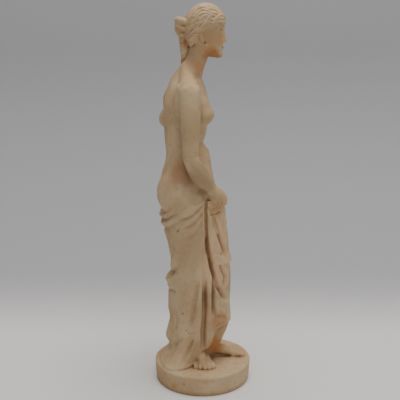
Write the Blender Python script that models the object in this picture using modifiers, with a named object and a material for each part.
"""A half-draped Aphrodite, cast in plaster as one solid with its round plinth."""

import math

import bpy
import numpy as np
from mathutils import Euler, Matrix, Vector
from mathutils.bvhtree import BVHTree

for old in list(bpy.data.objects):
    bpy.data.objects.remove(old)

# Sizes in metres. The plinth stands on z = 0, its centre is the origin, and the figure faces +X.
PLINTH_DIAMETER = 0.0784
PLINTH_HEIGHT = 0.0165
PLINTH_DRAFT = 0.0012
PLINTH_EDGE_RADIUS = 0.0012
PLINTH_SIDES = 72
STATURE = 0.2835

# The pose, the proportions and the carving are shares of the stature: below, a figure is laid out
# in millimetres of a statue whose stature is 283.5, and the whole is scaled to STATURE.
LAYOUT_STATURE = 283.5
UNIT = STATURE / LAYOUT_STATURE
CLAY_VOXEL = 1.3
CLAY_SMOOTHING = 6
CAST_VOXEL = 0.62
CAST_SMOOTHING = 2
FIGURE_TRIANGLES = 8300

collection = bpy.data.collections.new("aphrodite_statue")
bpy.context.scene.collection.children.link(collection)


# Clay tools

def through(points, steps=6):
    """A smooth run through the rows of points, with this many steps from each to the next."""
    rows = np.asarray(points, float)
    rows = np.vstack([2 * rows[0] - rows[1], rows, 2 * rows[-1] - rows[-2]])
    run = []
    for a, b, c, d in zip(rows, rows[1:], rows[2:], rows[3:]):
        for t in np.arange(steps) / steps:
            bend = (2 * a - 5 * b + 4 * c - d) * t * t + (3 * b - a - 3 * c + d) * t ** 3
            run.append(b + 0.5 * ((c - a) * t + bend))
    run.append(rows[-2])
    return np.array(run)


def lump(mesh, name="lump"):
    piece = bpy.data.objects.new(name, mesh)
    collection.objects.link(piece)
    return piece


def evaluated(piece):
    """The piece's mesh with its modifiers applied, in layout coordinates."""
    graph = bpy.context.evaluated_depsgraph_get()
    mesh = bpy.data.meshes.new_from_object(piece.evaluated_get(graph))
    mesh.transform(piece.matrix_world)
    return mesh


def ball(centre, radii, turn=(0, 0, 0)):
    """An ellipsoid with its three radii turned by Euler degrees."""
    bpy.ops.mesh.primitive_uv_sphere_add(segments=40, ring_count=24)
    piece = bpy.context.object
    for home in list(piece.users_collection):
        home.objects.unlink(piece)
    collection.objects.link(piece)
    spin = Euler([math.radians(angle) for angle in turn]).to_matrix().to_4x4()
    size = Matrix.Diagonal((*np.broadcast_to(radii, 3), 1))
    piece.data.transform(Matrix.Translation(centre) @ spin @ size)
    return piece


def tube(stations, steps=6):
    """A limb, finger, lock or fold: a round curve through (x, y, up, radius) with ball ends."""
    run = through(stations, steps)
    curve = bpy.data.curves.new("tube", "CURVE")
    curve.dimensions = "3D"
    curve.bevel_depth = 1
    curve.bevel_resolution = 5
    curve.use_fill_caps = True
    spline = curve.splines.new("POLY")
    spline.points.add(len(run) - 1)
    for point, (x, y, up, radius) in zip(spline.points, run):
        point.co = (x, y, up, 1)
        point.radius = radius
    guide = lump(curve)
    bpy.context.view_layer.update()
    mesh = evaluated(guide)
    bpy.data.objects.remove(guide)
    ends = [ball(run[index, :3], run[index, 3]) for index in (0, -1)]
    return [lump(mesh), *ends]


def loft(rings):
    """A closed skin over rings of points, all with the same count, and a point in the middle of each end."""
    rings = np.asarray(rings, float)
    levels, count = rings.shape[:2]
    points = np.vstack([rings.reshape(-1, 3), rings[0].mean(0), rings[-1].mean(0)])
    faces = []
    for level in range(levels - 1):
        for i in range(count):
            j = (i + 1) % count
            low, high = level * count, (level + 1) * count
            faces.append((low + i, low + j, high + j, high + i))
    for i in range(count):
        j = (i + 1) % count
        faces.append((j, i, levels * count))
        top = (levels - 1) * count
        faces.append((top + i, top + j, levels * count + 1))
    mesh = bpy.data.meshes.new("loft")
    mesh.from_pydata(points.tolist(), [], faces)
    return lump(mesh)


def ovals(rows, count=72, power=2.3):
    """Rings from (up, back, front, half width, side) rows: superellipses between back and front."""
    angles = np.linspace(0, 2 * math.pi, count, endpoint=False)
    c = np.sign(np.cos(angles)) * np.abs(np.cos(angles)) ** (2 / power)
    s = np.sign(np.sin(angles)) * np.abs(np.sin(angles)) ** (2 / power)
    rings = []
    for up, back, front, half, side in through(rows):
        x = (back + front) / 2 + (front - back) / 2 * c
        rings.append(np.column_stack([x, side + half * s, np.full(count, up)]))
    return rings


def flat(pieces):
    for piece in pieces:
        if isinstance(piece, list):
            yield from flat(piece)
        else:
            yield piece


def merged(pieces, voxel, smoothing):
    """One skin over all the pieces: a voxel remesh of their union, then smoothed."""
    pieces = list(flat(pieces))
    points, faces, start = [], [], 0
    for piece in pieces:
        mesh = piece.data
        points += [piece.matrix_world @ vertex.co for vertex in mesh.vertices]
        faces += [[start + i for i in polygon.vertices] for polygon in mesh.polygons]
        start = len(points)
        bpy.data.objects.remove(piece)
    mesh = bpy.data.meshes.new("merged")
    mesh.from_pydata(points, [], faces)
    whole = lump(mesh)
    remesh = whole.modifiers.new("Remesh", "REMESH")
    remesh.mode = "VOXEL"
    remesh.voxel_size = voxel
    soften = whole.modifiers.new("Soften", "SMOOTH")
    soften.factor = 0.5
    soften.iterations = round(smoothing)
    done = lump(evaluated(whole))
    bpy.data.objects.remove(whole)
    return done


# The nude: torso, neck, arms and feet

def torso():
    rows = [
        (100, -20, -1, 17, -1),
        (114, -24, 3, 21, -1),
        (124, -28.8, 8, 25.6, -1),
        (130, -31.8, 10.5, 27.8, -1.2),
        (136, -33.4, 11, 28.5, -1.5),
        (145, -33.6, 10, 27.6, -1.5),
        (153, -32.8, 8.4, 25.8, -1),
        (161, -30.6, 6.8, 23.2, -0.5),
        (169, -28.8, 5.6, 20.5, 0),
        (175, -28.8, 3, 19.2, 0.5),
        (180, -29.4, 0.8, 18.8, 1),
        (187, -29.8, 3.0, 19.5, 1),
        (195, -30, 3.8, 21, 1),
        (203, -30, 4.6, 22.5, 0.5),
        (211, -29.2, 4.8, 23.5, 0),
        (218, -27.6, 3.0, 23.5, 0),
        (224, -26.2, 1.2, 20, 0),
        (229, -24.0, -1.7, 13.5, 0),
        (234, -20.8, 0.0, 9.6, 0),
        (240, -15.4, 2.6, 8.0, -0.2),
        (247, -12.0, 5.0, 7.6, -0.4),
        (254, -10.6, 6.8, 7.6, -0.5),
        (262, -10, 7, 6.5, -0.5),
    ]
    buttocks = [
        ball((-21.5, -11.8, 142.5), (14.2, 13.8, 18)),
        ball((-21.2, 11.8, 140.5), (14.0, 13.8, 17)),
    ]
    breasts = [
        ball((-0.2, -11.8, 202.2), (8.9, 8.6, 8.2)),
        ball((-3, -11.4, 209.5), (8.3, 8.8, 9.2)),
        ball((-0.8, 12.4, 202.2), (8.9, 8.6, 8.2)),
        ball((-3.6, 12, 209.5), (8.3, 8.8, 9.2)),
    ]
    belly = [ball((-3, 0, 163.5), (9.8, 13, 12)), ball((-4.5, 0, 150), (11, 15, 12))]
    slopes = [
        tube([(-12, -4, 237, 5.5), (-11.5, -14, 229, 6), (-9.8, -25, 221.5, 8)]),
        tube([(-12, 4, 237, 5.5), (-13, 14, 229, 6), (-13.5, 25, 221.5, 8)]),
    ]
    blades = [ball((-23.5, -12, 208), (6.4, 7.5, 12)), ball((-23.5, 12.5, 208.5), (6.4, 7.5, 12))]
    return [loft(ovals(rows)), buttocks, breasts, belly, slopes, blades]


def right_arm():
    """Down from the shoulder and bent at the elbow, so that the hand comes to the front of the hip."""
    return [
        tube([
            (-9.3, -27, 219.5, 8.4),
            (-9.2, -30, 208, 7.9),
            (-9, -31.3, 196, 7.3),
            (-9, -32, 184, 6.3),
            (-9.2, -32, 174.5, 5.9),
            (-6.8, -30.5, 167, 6.4),
            (-1.5, -27, 159.5, 6.5),
            (3.2, -24, 152.5, 5.4),
            (7.6, -21, 146, 4.5),
        ]),
        ball((-9.2, -28.6, 216), (8.4, 7.0, 10.5)),
        ball((-10.6, -31.6, 173.4), (4.8, 5.2, 4.6)),
        ball((-9.6, -30.6, 196), (7.0, 7.6, 13)),
    ]


def left_arm():
    """Akimbo: the elbow out behind, and the hand back on the waist."""
    return [
        tube([
            (-13.5, 27, 219.5, 8.3),
            (-18, 33, 211, 7.9),
            (-23.5, 40, 202.5, 7.0),
            (-29.8, 47.4, 194, 6.0),
            (-30.6, 48.8, 190.5, 5.8),
            (-25, 44, 187, 6.2),
            (-19.5, 37, 183, 6.0),
            (-13.5, 29, 179, 4.8),
            (-9.0, 23.8, 176.5, 4.0),
        ]),
        ball((-13.8, 28.4, 217), (8.2, 7.0, 9.4)),
        ball((-32.4, 49.0, 190.4), (4.2, 4.2, 4.6)),
    ]


def right_hand():
    """The fist that holds the cloth: the back of the hand, four fingers curled inwards and a thumb."""
    palm = [
        ball((10.6, -21.8, 143.4), (7.6, 4.2, 5.4), turn=(0, 44, 0)),
        ball((14.4, -20.4, 139.8), (4.8, 3.4, 4.2), turn=(0, 46, 0)),
        ball((9.6, -22.2, 138.6), (5.4, 2.6, 3.6), turn=(0, 10, 0)),
    ]
    fingers = []
    for i in range(4):
        x = 16.8 - 2.75 * i
        y = -20.4 - 1.15 * i
        up = 139.2 - 0.7 * i
        fingers.append(tube([
            (x - 2.4, y + 0.6, up + 2.4, 1.7),
            (x + 0.2, y - 0.8, up + 0.2, 1.95),
            (x + 0.6, y - 1.6, up - 4.0, 1.7),
            (x + 0.1, y - 1.0, up - 8.0, 1.6),
            (x - 0.7, y + 1.6, up - 9.8, 1.5),
            (x - 1.4, y + 4.4, up - 8.2, 1.4),
        ], 3))
    thumb = tube([(9.5, -17.5, 146, 2.4), (13.6, -14.6, 143.4, 2.2), (16.8, -13.8, 139.0, 1.9)], 4)
    return [palm, fingers, thumb]


def left_hand():
    """The far hand, laid flat on the waist."""
    palm = ball((-5.8, 21.2, 175.0), (5.4, 2.6, 4.2), turn=(0, 30, -24))
    fingers = []
    for i in range(4):
        reach = (0.92, 1.0, 0.96, 0.82)[i]
        fingers.append(tube([
            (-5.0, 22.0, 176.2 - 1.7 * i, 1.7),
            (-5.0 + 4.6 * reach, 22.0 - 2.2 * reach, 175.6 - 2.2 * i - 1.2 * reach, 1.55),
            (-5.0 + 8.0 * reach, 22.0 - 6.0 * reach, 174.8 - 2.5 * i - 2.6 * reach, 1.35),
            (-5.0 + 10.2 * reach, 22.0 - 9.6 * reach, 174.2 - 2.8 * i - 4.4 * reach, 1.1),
        ], 3))
    thumb = tube([(-10, 23.4, 177.6, 2.2), (-8.6, 21.8, 182.0, 1.9), (-5.8, 20.0, 185.8, 1.5)], 3)
    return [palm, fingers, thumb]


def foot(heel, toe, width):
    """A bare foot from heel to toe, with five toes; a positive width puts the big toe on its left."""
    heel, toe = Vector(heel), Vector(toe)
    length = (toe - heel).length
    ahead = (toe - heel).normalized()
    across = Vector((-ahead.y, ahead.x)) * width

    def at(share, side):
        return (*(heel + ahead * share * length + across * side),)

    pieces = [
        tube([(*at(0.10, 0), 3.4, 3.9), (*at(0.28, 0), 5.6, 4.4), (*at(0.46, 0), 4.4, 4.0)]),
        tube([(*at(0.12, 0), 1.2, 3.2), (*at(0.4, 0.02), 0.8, 3.0), (*at(0.7, 0), 0.6, 3.4)]),
    ]
    for side in (-1, -0.33, 0.33, 1):
        pieces.append(tube([
            (*at(0.22, 0.10 * side), 5.4, 3.4),
            (*at(0.48, 0.24 * side), 3.7 + 0.6 * side, 2.8),
            (*at(0.74, 0.33 * side), 2.0 + 0.2 * side, 2.1),
        ]))
    for i in range(5):
        side = 1 - 0.5 * i
        reach = (0.90, 0.95, 0.96, 0.92, 0.85)[i]
        girth = (2.2, 1.65, 1.55, 1.45, 1.4)[i]
        pieces.append(tube([
            (*at(0.66, 0.33 * side), 1.8, girth + 0.3),
            (*at(0.80 * reach, 0.40 * side), 2.6, girth * 0.9),
            (*at(0.90 * reach, 0.43 * side), 2.5, girth * 0.86),
            (*at(reach, 0.45 * side), 1.2, girth),
        ], 4))
    return pieces


def legs():
    """Of the legs only the left shin shows, below the shorter hem in front; the rest fills the cloth."""
    return [
        tube([
            (9, 10, 84, 6),
            (11.4, 9.5, 66, 6.6),
            (14.6, 7.8, 48, 6.2),
            (17.0, 6.5, 34, 5.9),
            (16.4, 5.6, 26.5, 5.5),
            (13.2, 4.6, 17.2, 4.8),
            (10.4, 3.9, 9, 4.6),
            (8.9, 3.6, 4, 4.8),
        ]),
        tube([(-6, -4, 60, 7), (-5, -4, 30, 7), (-3.5, -4, 14, 6), (-3, -5, 6, 5.5)]),
        tube([(-3.4, -7, 12, 4.6), (-2.6, -11, 8, 4.2), (-2.2, -13, 4, 4)]),
        tube([(4, 4, 40, 9), (3, 3, 24, 8.5), (1.5, 2, 10, 7.5), (1, 2, 2, 7)]),
    ]


# The head

def head_place(points):
    """Puts head coordinates (x ahead, y left, z up from the middle of the head) on the neck."""
    turn = Euler((0, math.radians(2), math.radians(2))).to_matrix()
    points = np.asarray(points, float)
    turned = points[..., :3] @ np.array(turn).T + np.array((-0.5, -0.5, 262.0))
    return np.concatenate([turned, points[..., 3:]], axis=-1)


def face():
    rows = [
        (-17.3, 6.5, 13.4, 3.2, 0),
        (-16.2, 3, 15.2, 5.0, 0),
        (-14.2, -1, 15.9, 6.7, 0),
        (-11.8, -4, 15.3, 8.2, 0),
        (-9.2, -7, 15.4, 9.4, 0),
        (-6.2, -10, 15.3, 10.4, 0),
        (-2.6, -12, 15.0, 11.2, 0),
        (1.0, -12.6, 14.9, 11.7, 0),
        (4.4, -13.0, 16.2, 12.0, 0),
        (8.0, -13.2, 16.6, 11.8, 0),
        (12.0, -12.4, 14.6, 10.8, 0),
        (15.5, -10, 11, 9.0, 0),
        (18.0, -7, 6, 5.2, 0),
    ]
    return loft(head_place(ovals(rows, power=2.1)))


def features():
    """A straight nose, closed lips, chin, brows, lids and the lobes of the ears, on general proportions."""
    pieces = [
        tube(head_place([
            (15.0, 0, 5.0, 1.9),
            (16.0, 0, 1.6, 1.6),
            (17.0, 0, -1.8, 1.6),
            (17.7, 0, -4.6, 1.6),
        ])),
        tube(head_place([
            (13.2, -3.7, -10.2, 0.6),
            (15.6, -1.6, -9.5, 1.0),
            (16.0, 0, -9.7, 1.0),
            (15.6, 1.6, -9.5, 1.0),
            (13.2, 3.7, -10.2, 0.6),
        ]), 3),
        tube(head_place([(13.2, -3.4, -10.7, 0.6), (15.5, 0, -11.5, 1.2), (13.2, 3.4, -10.7, 0.6)]), 4),
        ball(head_place([(12.9, 0, -15.0)])[0], (3.4, 4.2, 3.0)),
    ]
    for s in (-1, 1):
        pieces += [
            tube(head_place([(15.2, 2.0 * s, -5.2, 1.1), (16.6, 1.4 * s, -5.5, 1.1)]), 2),
            tube(head_place([
                (15.4, 1.7 * s, 4.4, 1.2),
                (14.8, 4.6 * s, 5.4, 1.2),
                (12.6, 7.7 * s, 5.0, 1.1),
            ]), 4),
            ball(head_place([(11.4, 4.8 * s, 1.2)])[0], (2.8, 3.0, 2.2)),
            tube(head_place([(-1.2, 11.9 * s, -2.4, 1.4), (0.2, 11.4 * s, -5.8, 1.6)]), 3),
        ]
    return pieces


# The hair's mass in head coordinates, as (up, back, front, half width, side).
HAIR_MASS = [
    (-9, -11.5, -6, 7.2, 0),
    (-6, -12.6, -3, 9.6, 0),
    (-3, -13.2, 0.5, 11.4, 0),
    (0, -13.5, 3.5, 12.4, 0),
    (3, -13.6, 8.0, 13.0, 0),
    (5.5, -13.6, 13.6, 13.3, 0),
    (7.5, -13.4, 16.4, 13.4, 0),
    (10, -12.9, 16.8, 13.2, 0),
    (13, -11.7, 15.7, 12.5, 0),
    (16, -9.5, 13.4, 11.0, 0),
    (18.4, -6.3, 10.2, 8.3, 0),
    (20.0, -2.6, 6.4, 4.8, 0),
    (20.5, 0.5, 3.2, 1.8, 0),
]
HAIRLINE = [
    (16.6, 1.2, 10.6),
    (16.6, 4.0, 9.6),
    (15.4, 6.8, 8.2),
    (13.6, 9.4, 6.6),
    (11.0, 11.4, 4.6),
    (8.0, 12.8, 2.4),
    (5.0, 13.2, 0.6),
    (1.8, 12.8, -1.6),
    (-1.4, 12.0, -4.2),
    (-5.0, 10.4, -7.0),
    (-8.4, 7.8, -9.2),
]


def lock(n, side):
    """The run of one wavy lock from the hairline back over the head to the knot, in head coordinates."""
    heart = np.array((0.5, 0, 4.0))
    start = np.array(HAIRLINE[n]) - heart
    end = np.array((-13.4, 4.0 * math.sin(math.pi * (n + 0.6) / 11), 12.5 - 1.6 * n)) - heart
    if n < 5:
        over = np.array((0, 2.0 + 2.1 * n, 17.0 - 1.4 * n))
    else:
        over = np.array((0, 12.5, 10.0 - 2.7 * (n - 5)))
    across = np.cross(end - start, over)
    across /= np.linalg.norm(across)
    run = []
    for step in range(11):
        t = step / 10
        place = heart + start * (1 - t) ** 2 + 3 * t * (1 - t) * over + end * t * t
        sway = 1.2 * math.sin(2 * math.pi * (2.2 * t + 0.12 * n + 0.13 * side))
        place = place + across * sway * min(1, 4 * (1 - t), 0.35 + 4 * t)
        run.append((place[0], place[1] * side, place[2]))
    return run


def hair():
    """Wavy locks drawn from the brow to a coiled knot, and one twisted lock down the nape."""
    mass = loft(head_place(ovals(HAIR_MASS, power=2.05)))
    surface = BVHTree.FromObject(mass, bpy.context.evaluated_depsgraph_get())
    middle = Vector(head_place([(1.0, 0, 4.0)])[0])
    pieces = [mass]
    for side in (-1, 1):
        for n in range(len(HAIRLINE)):
            stations = []
            for place in head_place(lock(n, side)):
                away = (Vector(place) - middle).normalized()
                spot, normal, _, _ = surface.ray_cast(middle + away * 40, -away)
                stations.append((*(spot - normal * 0.5), (1.8, 1.6)[n % 2]))
            pieces.append(tube(stations, 3))
    pieces.append(ball(head_place([(-16.0, 0, 4.4)])[0], (4.6, 4.4, 6.6)))
    for up, back, half, girth in [(7.6, -18.6, 4.6, 2.6), (2.6, -18.4, 4.4, 2.3), (-1.8, -17.0, 3.6, 2.1)]:
        coil = []
        for step in range(9):
            angle = math.radians(-115 + 230 * step / 8)
            x = -13.0 + (back + 13.0) * math.cos(angle)
            coil.append((x, half * math.sin(angle), up + 1.2 * math.cos(angle), girth))
        pieces.append(tube(head_place(coil), 3))
    pieces.append(tube([(-11.5, -0.5, 260, 3.6), (-12.6, -0.6, 250, 3.0), (-14.4, -0.7, 241, 2.4)]))
    for strand in (0, 1):
        stations = []
        for step in range(25):
            t = step / 24
            angle = 2 * math.pi * 3.0 * t + math.pi * strand
            spread = 1.7 * (1 - 0.5 * t)
            x = -14.4 + 0.6 * t - spread * math.cos(angle)
            stations.append((x, -0.7 + spread * 1.1 * math.sin(angle), 259 - 19.5 * t, 2.3 - 0.9 * t))
        pieces.append(tube(stations, 3))
    return pieces


# The cloth

AXIS = (-4.0, 0.0)
# Degrees round the axis: 0 is ahead, 90 the left hip, 180 behind, 270 the right hip.
AROUND = (0, 25, 55, 90, 125, 155, 180, 205, 235, 270, 300, 337)
# The cloth's reach from the axis at each height, in those directions.
REACH = {
    0: (8, 14, 20, 28, 31, 32, 31.5, 33, 34.5, 16, 15, 9),
    5: (8, 14, 19, 25.5, 28, 28.5, 27.5, 29, 31, 16.5, 15, 9),
    13: (9, 14, 18, 23.5, 25, 24, 22, 24.5, 25.5, 17.5, 16.5, 16),
    22: (12, 15, 19, 23, 24, 25, 25.6, 24.8, 23.5, 18.8, 18.6, 20),
    36: (25, 28, 27, 24.5, 23, 22.8, 22.5, 22.5, 22.5, 20, 18.8, 26.5),
    46: (25.2, 28.4, 27.4, 25, 23.5, 23.5, 23.9, 23, 22.5, 21.5, 18.5, 26.2),
    56: (25, 28.4, 27.8, 25.2, 23.5, 23.5, 23.8, 23, 22.8, 22.5, 19, 25.5),
    69: (24.8, 28.6, 28.4, 25.8, 24, 24, 24.8, 23.6, 23.5, 23.5, 20, 25),
    76: (24.6, 28.4, 28.6, 26.2, 23.5, 21, 19.3, 21.5, 23.5, 24, 20.5, 25),
    84: (24, 28, 28.6, 26.6, 24.5, 22.5, 21.3, 22.8, 24.5, 25, 21.5, 25.5),
    100: (21, 25, 27.6, 27.8, 26.5, 24.8, 23.2, 25, 27, 27.5, 23.5, 24.8),
    112: (18, 21.5, 26, 29, 29, 27.5, 26.2, 28, 29.5, 29.5, 25, 23),
    124: (15.8, 18.5, 24.5, 30, 30.8, 29, 27.6, 29, 30.5, 30.5, 26.5, 21),
    133: (15.8, 17.8, 23.5, 30, 31, 29.3, 27.8, 29.2, 30.7, 30.2, 25.5, 20),
    141: (16, 17, 22.5, 29, 31, 29.8, 28.4, 29.8, 30.5, 29.0, 23.0, 19),
}
# The heights of the cloth's lower and upper edges, in degrees round the axis.
HEM = [
    (0, 35), (15, 36), (27, 33), (40, 24), (55, 12), (70, 3), (80, -1.5), (240, -1.5), (250, 0), (257, 3.5),
    (265, 7), (275, 10), (292, 12.5), (304, 14.5), (309, 18), (312, 25), (316.5, 36.6), (337, 36.4),
    (346, 35), (360, 35),
]
TOP = [
    (0, 131), (30, 135), (60, 138), (90, 138), (135, 131), (180, 126.5), (215, 129), (235, 134.5), (252, 139),
    (270, 139.8), (288, 139.2), (300, 135), (314, 130), (335, 129),
]
# Folds on the near side, as (depth, half width, [(x, up), ...]); a negative depth is a ridge.
NEAR_FOLDS = [
    (4.2, 2.1, [(3.2, 145), (2.2, 132), (2.7, 120), (3.1, 110), (3.8, 100), (5.4, 90), (7.6, 78)]),
    (4.2, 2.1, [(4.4, 100), (7.6, 81), (10.2, 73), (12.6, 66), (15.2, 60.6), (19.6, 52)]),
    (1.5, 2.6, [(2.1, 110), (1.5, 98), (1.2, 88), (1.4, 76), (1.5, 65), (1.7, 57), (1.4, 44)]),
    (4.4, 3.0, [(1.6, 78), (1.6, 57), (1.6, 47), (1.0, 36), (0.7, 26), (0.6, 2)]),
    (4.0, 2.0, [(8.7, 84), (9, 66), (8.8, 60), (9, 53), (8.8, 38)]),
    (2.2, 3.0, [(-2.6, 79), (-4.4, 68), (-6.2, 58), (-7.4, 50), (-8.8, 42), (-10.4, 30)]),
    (2.2, 2.2, [(6.2, 129), (9.2, 116.8), (12.2, 107), (14.6, 99), (15.4, 93)]),
    (2.0, 1.8, [(12.8, 87), (15.6, 79), (17.2, 74), (16.2, 65)]),
    (1.4, 1.9, [(4.0, 141.2), (-3.0, 138.6), (-9.9, 136.4), (-19, 133.2)]),
    (1.5, 1.9, [(3.2, 139.4), (-1.4, 134), (-5.8, 130), (-11, 126.8), (-20, 124)]),
    (1.4, 2.0, [(2.0, 137), (-0.8, 129.6), (-4.4, 124.6), (-9, 121), (-17, 118)]),
    (-1.1, 2.0, [(5.0, 82), (5.6, 70), (5.6, 60), (5.6, 46), (5.3, 32), (4.6, 16)]),
    (-0.9, 2.4, [(-1.6, 70), (-2.6, 58), (-3.4, 47), (-4.4, 37), (-6, 26), (-9, 12)]),
    (1.7, 2.4, [(-6.2, 26), (-10.4, 17), (-14.4, 9), (-17, 3)]),
    (1.5, 2.6, [(-15.6, 25), (-21.6, 18), (-27, 10), (-30, 4)]),
    (-1.2, 2.4, [(-10.4, 31), (-14.8, 22), (-19.6, 14), (-25, 6)]),
]
# Folds round the hidden sides, as (depth, half width, [(degrees, up), ...]).
ROUND_FOLDS = [
    (2.0, 2.8, [(338, 130), (10, 123), (45, 127), (80, 133)]),
    (2.2, 2.8, [(338, 125), (8, 113), (42, 112), (82, 121)]),
    (2.0, 3.0, [(341, 118), (4, 102), (32, 97), (70, 106)]),
    (1.6, 2.8, [(344, 110), (2, 92), (20, 82), (48, 84)]),
    (2.2, 2.6, [(350, 84), (4, 66), (12, 50), (16, 38)]),
    (1.8, 2.4, [(34, 78), (30, 60), (34, 44), (38, 34)]),
    (2.6, 3.0, [(64, 104), (56, 80), (52, 56), (56, 32), (62, 14)]),
    (2.8, 3.2, [(88, 120), (82, 96), (78, 66), (80, 36), (86, 3)]),
    (2.4, 3.0, [(112, 116), (106, 86), (104, 58), (108, 28), (112, 3)]),
    (2.6, 3.2, [(138, 112), (134, 84), (130, 56), (132, 28), (130, 3)]),
    (1.8, 2.6, [(152, 62), (146, 40), (144, 18), (142, 3)]),
    (1.6, 3.2, [(226, 104), (212, 93), (196, 88), (176, 90), (152, 102)]),
    (2.0, 3.0, [(232, 88), (210, 77), (186, 74), (164, 78), (140, 94)]),
    (1.5, 3.0, [(160, 54), (172, 40), (178, 26), (174, 4)]),
    (1.6, 3.0, [(196, 56), (202, 42), (204, 26), (200, 4)]),
]


def smooth_round(pairs, angles):
    """A periodic smooth run through (degrees, value) pairs, read at these angles."""
    rows = np.asarray(pairs, float)
    step = np.array([360.0] + [0.0] * (rows.shape[1] - 1))
    rows = np.vstack([rows[-2:] - step, rows, rows[:2] + step])
    run = through(rows, 10)
    columns = [np.interp(angles, run[:, 0], run[:, i]) for i in range(1, run.shape[1])]
    return np.array(columns)


def bump(value, middle, half):
    """1 at the middle, falling smoothly to 0 at half away."""
    share = np.clip(np.abs(value - middle) / half, 0, 1)
    return (1 - share ** 2) ** 2


def stroke(a, b, points, half):
    """How deep each place (a, b) lies in a stroke along the points: 1 on it, 0 at half away and past its ends."""
    run = through(points, 5)
    nearest = np.full(a.shape, 1e9)
    for (a0, b0), (a1, b1) in zip(run, run[1:]):
        da, db = a1 - a0, b1 - b0
        along = np.clip(((a - a0) * da + (b - b0) * db) / (da * da + db * db + 1e-9), 0, 1)
        away = np.hypot(a - a0 - along * da, b - b0 - along * db)
        nearest = np.minimum(nearest, away)
    share = np.clip(1 - nearest / half, 0, 1)
    return share ** 2 * (3 - 2 * share)


def skirt():
    """The himation, as its reach from the axis at each angle and height, with its rolls, tiers and folds."""
    count, levels = 480, 280
    angles = np.linspace(0, 360, count, endpoint=False)
    hem = np.interp(angles, *zip(*HEM))
    top = smooth_round(TOP, angles)[0]
    ups = hem + (top - hem) * np.linspace(0, 1, levels)[:, None]
    by_height = smooth_round(np.column_stack([AROUND, np.array(list(REACH.values())).T]), angles)
    table = through(np.column_stack([list(REACH), by_height]), 10)
    reach = np.column_stack([np.interp(ups[:, i], table[:, 0], table[:, 1 + i]) for i in range(count)])

    below = top - ups
    rolls = 2.6 * bump(below, 3.4, 3.2) + 2.0 * bump(below, 9.6, 3.0) - 0.8 * bump(below, 13.4, 2)
    behind = np.clip(1.9 - np.abs(angles - 158) / 62, 0, 1) ** 1.4
    ahead = np.clip(1.3 - np.abs((angles + 120) % 360 - 145) / 55, 0, 1)
    reach = reach + rolls * np.maximum(behind, 0.8 * ahead)

    x = AXIS[0] + reach * np.cos(np.radians(angles))
    edge = np.interp(
        ups,
        [45, 46, 57, 65, 77, 88, 98, 108, 119, 133],
        [9.4, 9, 17.4, 12.8, 9, 6.3, 4.8, 3.3, 2.7, 2.5],
    )
    near = (angles > 190) & (angles < 352)
    inside = np.clip((x - edge) / 0.9, 0, 1) * near * np.clip((352 - angles) / 10, 0, 1)
    lip = np.interp(x, [4, 6, 8.4, 11, 16, 22], [92.5, 89.6, 87.2, 86, 85.8, 86.3])
    over = ups - lip
    tier = np.clip(over / 0.6, 0, 1) * (1.7 + 1.1 * np.exp(-np.clip(over, 0, 99) / 2.4))
    reach = reach + inside * (0.7 + tier)

    for depth, half, points in NEAR_FOLDS:
        reach = reach - depth * stroke(x, ups, points, half) * near
    arc = (angles + 60) % 360 * math.radians(1) * 25
    for depth, half, points in ROUND_FOLDS:
        placed = [((degrees + 60) % 360 * math.radians(1) * 25, up) for degrees, up in points]
        reach = reach - depth * stroke(arc + 0 * ups, ups, placed, half)
    x = AXIS[0] + reach * np.cos(np.radians(angles))
    y = AXIS[1] + reach * np.sin(np.radians(angles))
    return loft(np.dstack([x, y, ups]))


def gathers():
    """The folds that fan out below the fist, and the knob of cloth that it squeezes out."""
    runs = [
        [(6.4, -24.0, 133, 1.2), (7.2, -23.2, 127, 1.7), (8.6, -21.6, 118, 1.6), (10.2, -19.6, 108, 0.8)],
        [(10, -21.8, 132, 1.4), (11.2, -20.0, 126, 1.9), (13.2, -16.0, 116, 1.7), (15.4, -13.0, 106, 0.9)],
        [(13.6, -19.4, 132, 1.4), (15.0, -17.0, 127, 2.2), (16.0, -12.6, 119, 2.0), (16.8, -9, 109, 1.0)],
        [(15.0, -19.0, 132.4, 1.9), (15.6, -17.6, 130, 2.1)],
    ]
    return [tube(run) for run in runs]


# The plinth and the cast

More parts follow.
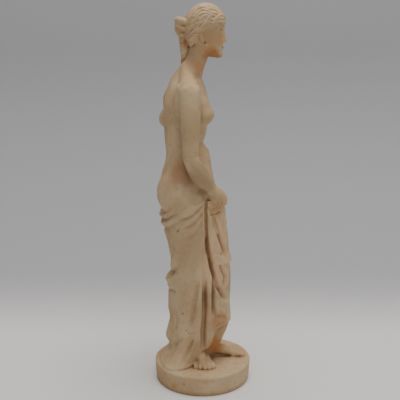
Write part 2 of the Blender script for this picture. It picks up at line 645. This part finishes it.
def plinth():
    """A disc drawn in a little at its foot, as it left the mould, with a soft upper edge."""
    bpy.ops.mesh.primitive_cone_add(
        vertices=PLINTH_SIDES,
        radius1=PLINTH_DIAMETER / 2 - PLINTH_DRAFT,
        radius2=PLINTH_DIAMETER / 2,
        depth=PLINTH_HEIGHT,
        location=(0, 0, PLINTH_HEIGHT / 2),
    )
    disc = bpy.context.object
    soften = disc.modifiers.new("Upper edge", "BEVEL")
    soften.width = PLINTH_EDGE_RADIUS
    soften.segments = 3
    soften.limit_method = "ANGLE"
    done = lump(evaluated(disc))
    bpy.data.objects.remove(disc)
    return done


def figure():
    """The standing figure, from the clay lumps to one skin at real size on the plinth's top."""
    nude = merged([torso(), right_arm(), left_arm(), legs()], CLAY_VOXEL, CLAY_SMOOTHING)
    skull = merged([face()], CLAY_VOXEL, 2)
    cloth = merged([skirt(), gathers()], 0.8, 2)
    details = [
        features(), hair(), right_hand(), left_hand(),
        foot((-3.5, 5), (4.4, -25.5), 16), foot((3.5, 2.5), (34.5, 6.0), -13),
    ]
    skin = merged([nude, skull, cloth, details], CAST_VOXEL, CAST_SMOOTHING)
    thin = skin.modifiers.new("Facets", "DECIMATE")
    thin.ratio = FIGURE_TRIANGLES / (2 * len(skin.data.polygons))
    thin.use_collapse_triangulate = True
    done = lump(evaluated(skin))
    bpy.data.objects.remove(skin)
    done.data.transform(Matrix.Translation((0, 0, PLINTH_HEIGHT)) @ Matrix.Scale(UNIT, 4))
    return done


def plaster():
    material = bpy.data.materials.new("old plaster")
    material.use_nodes = True
    shader = material.node_tree.nodes["Principled BSDF"]
    shader.inputs["Base Color"].default_value = (0.58, 0.44, 0.28, 1)
    shader.inputs["Roughness"].default_value = 0.75
    shader.inputs["Metallic"].default_value = 0
    return material


def cast():
    """The statue, one solid from the plinth's underside to the crown."""
    statue = plinth()
    body = figure()
    join = statue.modifiers.new("Cast in one", "BOOLEAN")
    join.operation = "UNION"
    join.solver = "EXACT"
    join.object = body
    whole = lump(evaluated(statue), "statue")
    for piece in (statue, body):
        bpy.data.objects.remove(piece)
    whole.data.materials.clear()
    whole.data.materials.append(plaster())
    return whole


cast()
